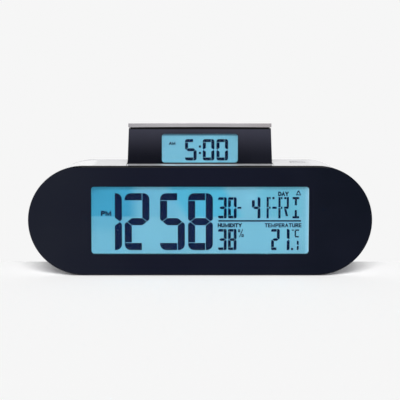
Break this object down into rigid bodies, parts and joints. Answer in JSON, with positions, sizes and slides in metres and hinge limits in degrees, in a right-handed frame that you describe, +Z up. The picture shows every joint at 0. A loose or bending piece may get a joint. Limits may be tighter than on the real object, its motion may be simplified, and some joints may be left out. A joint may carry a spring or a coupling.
{
  "type": "alarm clock",
  "caption": "Desk alarm clock with a pill-shaped front, a wide liquid-crystal display and a spring-loaded display block that rises from its top.",
  "frame": {"origin": "centre of the clock's footprint, on the surface it stands on", "axes": "+X along the front to the viewer's right, +Y from the front to the rear, +Z up"},
  "size_m": [0.1804, 0.048, 0.0794],
  "materials": {
    "panel_gloss": "piano gloss",
    "case_plastic": "satin",
    "popup_plastic": "semi-gloss",
    "silver_cap": "satin silver",
    "clear_lens": "clear",
    "lcd_panel": "backlit blue",
    "lcd_ink": "dark segments",
    "light_guide": "milky",
    "contact_rubber": "striped elastomer",
    "inner_plastic": "moulded",
    "circuit_board": "solder mask",
    "epoxy": "cured epoxy",
    "steel": "zinc plated",
    "battery_sleeve": "shrink sleeve",
    "foot_rubber": "matt",
    "lead_insulation": "smooth",
    "button_plastic": "fine texture"
  },
  "bodies": {
    "case": {"front_panel": "panel_gloss", "main_window": "clear_lens", "main_lcd_glass": "lcd_panel", "main_lcd_segments": "lcd_ink", "main_backlight": "light_guide", "main_contact_strips": "contact_rubber", "main_lcd_frame": "inner_plastic", "main_circuit_board": "circuit_board", "controller_chip": "epoxy", "quartz_crystal": "steel", "alarm_buzzer": "epoxy", "main_board_screws": "steel", "case_shell": "case_plastic", "rubber_feet": "foot_rubber", "back_cover": "case_plastic", "case_screws": "steel", "batteries": "battery_sleeve", "positive_contact": "steel", "negative_contact": "steel", "battery_leads": "lead_insulation", "rear_button_board": "circuit_board", "climate_sensor": "circuit_board", "top_button_board": "circuit_board", "switch_board_screws": "steel", "popup_guide": "case_plastic", "guide_screws": "steel", "guide_rods": "steel", "popup_springs": "steel", "push_latch": "inner_plastic", "latch_screws": "steel", "popup_ribbon_cable": "inner_plastic"},
    "popup": {"popup_housing": "popup_plastic", "popup_cap": "silver_cap", "popup_window": "clear_lens", "popup_lcd_segments": "lcd_ink", "popup_lcd_glass": "lcd_panel", "popup_backlight": "light_guide", "popup_contact_strips": "contact_rubber", "popup_circuit_board": "circuit_board", "popup_bottom_cover": "inner_plastic", "latch_striker": "steel", "popup_screws": "steel"},
    "mode_button": {"mode_button": "button_plastic"},
    "set_button": {"set_button": "button_plastic"},
    "up_button": {"up_button": "button_plastic"},
    "down_button": {"down_button": "button_plastic"},
    "alarm_button": {"alarm_button": "button_plastic"},
    "top_button": {"top_button": "case_plastic"},
    "battery_door": {"battery_door": "case_plastic"}
  },
  "joints": [
    {"name": "popup_slide", "type": "slide", "parent": "case", "child": "popup", "axis": [0, 0, 1], "range_m": [-0.0206, 0], "stiffness_N_per_m": 100, "springref_m": 0.02, "deforming": ["popup_springs", "popup_ribbon_cable"]},
    {"name": "top_button_press", "type": "slide", "parent": "case", "child": "top_button", "axis": [0, 0, -1], "range_m": [0, 0.0006], "stiffness_N_per_m": 500, "springref_m": -0.001},
    {"name": "mode_button_press", "type": "slide", "parent": "case", "child": "mode_button", "axis": [0, -1, 0], "range_m": [0, 0.0008], "stiffness_N_per_m": 300, "springref_m": -0.001},
    {"name": "set_button_press", "type": "slide", "parent": "case", "child": "set_button", "axis": [0, -1, 0], "range_m": [0, 0.0008], "stiffness_N_per_m": 300, "springref_m": -0.001},
    {"name": "up_button_press", "type": "slide", "parent": "case", "child": "up_button", "axis": [0, -1, 0], "range_m": [0, 0.0008], "stiffness_N_per_m": 300, "springref_m": -0.001},
    {"name": "down_button_press", "type": "slide", "parent": "case", "child": "down_button", "axis": [0, -1, 0], "range_m": [0, 0.0008], "stiffness_N_per_m": 300, "springref_m": -0.001},
    {"name": "alarm_button_press", "type": "slide", "parent": "case", "child": "alarm_button", "axis": [0, -1, 0], "range_m": [0, 0.0008], "stiffness_N_per_m": 300, "springref_m": -0.001},
    {"name": "battery_door_pull", "type": "slide", "parent": "case", "child": "battery_door", "axis": [0, 1, 0], "range_m": [0, 0.03]}
  ]
}
